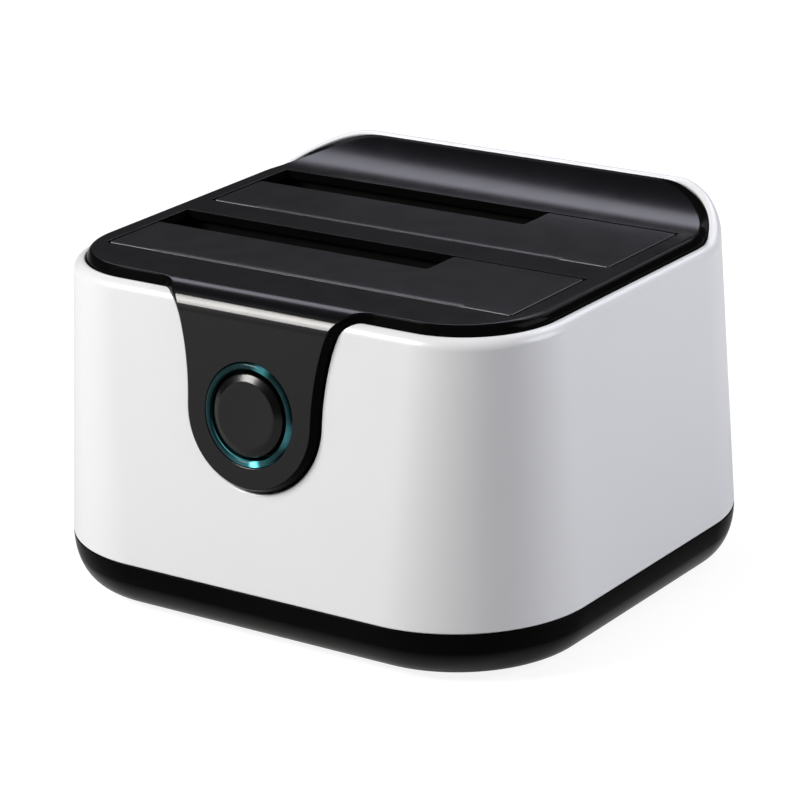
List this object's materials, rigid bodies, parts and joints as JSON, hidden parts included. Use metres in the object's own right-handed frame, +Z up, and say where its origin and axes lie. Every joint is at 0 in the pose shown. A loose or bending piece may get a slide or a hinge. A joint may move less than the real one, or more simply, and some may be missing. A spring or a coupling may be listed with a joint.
{
  "type": "hard drive docking station",
  "caption": "Desktop dock for bare drives: tapered white sleeve, black deck with sprung flap doors over the bays, round lit power button on a front tongue.",
  "frame": {"origin": "middle of the footprint, on the table under the feet", "axes": "+X to the right along the front, +Y to the back, +Z up; the button faces -Y"},
  "size_m": [0.1266, 0.1146, 0.0812],
  "materials": {
    "shell_white": "gloss white",
    "deck_black": "satin black",
    "base_black": "gloss black",
    "post_black": "moulded black",
    "guide_black": "matt black",
    "door_black": "fine satin black",
    "pin_steel": "bright steel",
    "spring_steel": "drawn spring wire",
    "ring_teal": "clear teal",
    "button_black": "satin black",
    "plunger_red": "matt",
    "socket_black": "moulded black",
    "board_green": "solder mask",
    "lamp_clear": "clear lamp",
    "ribbon_white": "flat ribbon",
    "contact_gold": "gold plated",
    "port_steel": "plated",
    "chip_black": "moulded epoxy",
    "coil_grey": "pressed ferrite",
    "can_aluminium": "drawn can",
    "screw_steel": "zinc plated",
    "screw_black": "black oxide",
    "foot_rubber": "soft rubber"
  },
  "bodies": {
    "dock": {"outer_shell": "shell_white", "top_cover": "deck_black", "base_cover": "base_black", "tie_posts": "post_black", "front_bay_guide": "guide_black", "rear_bay_guide": "guide_black", "front_hinge_pin": "pin_steel", "rear_hinge_pin": "pin_steel", "front_door_spring": "spring_steel", "rear_door_spring": "spring_steel", "light_ring": "ring_teal", "switch_body": "socket_black", "button_board": "board_green", "ring_leds": "lamp_clear", "button_ribbon": "ribbon_white", "main_board": "board_green", "front_drive_socket": "socket_black", "rear_drive_socket": "socket_black", "front_socket_contacts": "contact_gold", "rear_socket_contacts": "contact_gold", "data_port_shell": "port_steel", "data_port_insert": "socket_black", "power_jack": "socket_black", "power_jack_pin": "port_steel", "bridge_chip": "chip_black", "power_coil": "coil_grey", "capacitors": "can_aluminium", "crystal": "port_steel", "guide_screws": "screw_steel", "board_screws": "screw_steel", "button_board_screws": "screw_steel", "base_screws": "screw_black", "feet": "foot_rubber"},
    "front_door": {"front_door": "door_black"},
    "rear_door": {"rear_door": "door_black"},
    "power_button": {"power_button": "button_black"},
    "switch_plunger": {"switch_plunger": "plunger_red"}
  },
  "joints": [
    {"name": "front_door_hinge", "type": "hinge", "parent": "dock", "child": "front_door", "pos_m": [0, -0.0372, 0.0713], "axis": [-1, 0, 0], "range_deg": [0, 90], "stiffness_Nm_per_rad": 0.004, "springref_deg": -45.84, "deforming": ["front_door_spring"]},
    {"name": "rear_door_hinge", "type": "hinge", "parent": "dock", "child": "rear_door", "pos_m": [0, 0, 0.0713], "axis": [-1, 0, 0], "range_deg": [0, 90], "stiffness_Nm_per_rad": 0.004, "springref_deg": -45.84, "deforming": ["rear_door_spring"]},
    {"name": "power_button_slide", "type": "slide", "parent": "dock", "child": "power_button", "axis": [0, 0.9943, -0.1071], "range_m": [0, 0.0008], "stiffness_N_per_m": 1500, "springref_m": -0.0005},
    {"name": "switch_plunger_slide", "type": "slide", "parent": "dock", "child": "switch_plunger", "axis": [0, 0.9943, -0.1071], "range_m": [0, 0.0008]}
  ],
  "couplings": [
    {"joint": "switch_plunger_slide", "follows": "power_button_slide", "ratio": 1}
  ]
}
